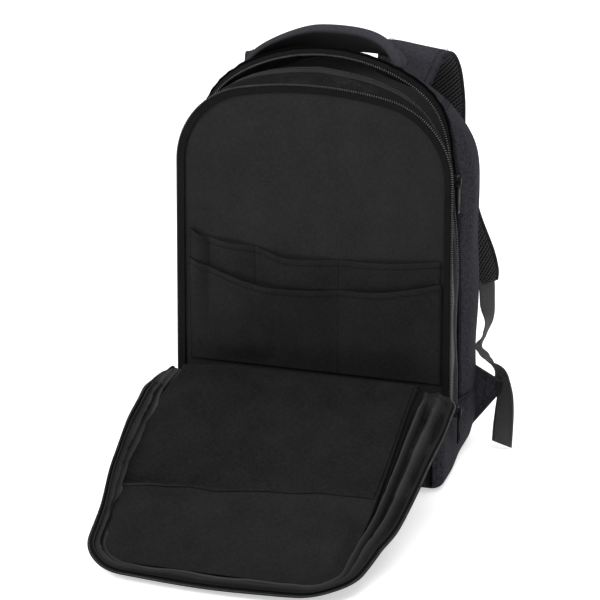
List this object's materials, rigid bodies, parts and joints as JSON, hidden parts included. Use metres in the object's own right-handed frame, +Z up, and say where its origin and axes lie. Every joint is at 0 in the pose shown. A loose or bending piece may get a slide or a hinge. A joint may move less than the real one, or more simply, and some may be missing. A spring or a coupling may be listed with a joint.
{
  "type": "convertible laptop backpack",
  "caption": "Upright laptop backpack with its zipped front cover folded down over an organizer panel, the main compartment open on top, a padded handle and shoulder straps.",
  "frame": {"origin": "on the floor under the front face of the organizer panel, in the middle of the bag's width", "axes": "+Z up, -Y towards the front where the cover lies, +X to the right seen from the front"},
  "size_m": [0.3635, 0.4958, 0.4313],
  "materials": {
    "navy_cloth": "plain woven navy polyester",
    "lining_cloth": "thin black lining cloth with a slight sheen",
    "gusset_twill": "grey twill tape",
    "zip_tape": "black zip tape with coil teeth",
    "mesh_pad": "black spacer mesh over foam",
    "webbing": "black woven webbing",
    "black_plastic": "black moulded plastic",
    "zip_metal": "dark gunmetal"
  },
  "bodies": {
    "bag": {"back_panel": "mesh_pad", "rear_gusset": "navy_cloth", "boot": "navy_cloth", "front_panel": "navy_cloth", "flap_liner": "lining_cloth", "flap_pocket": "lining_cloth", "flap_gusset": "lining_cloth", "flap_zip": "zip_tape", "organizer_panel": "lining_cloth", "upper_pocket": "lining_cloth", "lower_pocket": "lining_cloth", "front_gusset": "gusset_twill", "body_zip": "zip_tape", "main_zip_front": "zip_tape", "main_zip_rear": "zip_tape", "grab_handle": "navy_cloth", "shoulder_strap_right": "navy_cloth", "shoulder_strap_left": "navy_cloth", "strap_webbing_right": "webbing", "strap_webbing_left": "webbing", "strap_tab_right": "navy_cloth", "strap_tab_left": "navy_cloth", "ladder_lock_right": "black_plastic", "ladder_lock_left": "black_plastic", "main_slider_right": "zip_metal", "main_slider_left": "zip_metal", "front_slider_right": "zip_metal", "front_slider_left": "zip_metal"},
    "main_pull_right": {"main_pull_right": "zip_metal"},
    "main_pull_left": {"main_pull_left": "zip_metal"},
    "front_pull_right": {"front_pull_right": "zip_metal"},
    "front_pull_left": {"front_pull_left": "zip_metal"}
  },
  "joints": [
    {"name": "main_pull_right_swing", "type": "hinge", "parent": "bag", "child": "main_pull_right", "pos_m": [0.1412, 0.0241, 0.302], "axis": [0, -1, 0], "range_deg": [0, 170]},
    {"name": "main_pull_left_swing", "type": "hinge", "parent": "bag", "child": "main_pull_left", "pos_m": [-0.1412, 0.0241, 0.302], "axis": [0, 1, 0], "range_deg": [0, 170]},
    {"name": "front_pull_right_swing", "type": "hinge", "parent": "bag", "child": "front_pull_right", "pos_m": [0.1528, -0.004, 0.0705], "axis": [0, -1, 0], "range_deg": [0, 170]},
    {"name": "front_pull_left_swing", "type": "hinge", "parent": "bag", "child": "front_pull_left", "pos_m": [-0.1528, -0.004, 0.0705], "axis": [0, 1, 0], "range_deg": [0, 170]}
  ]
}
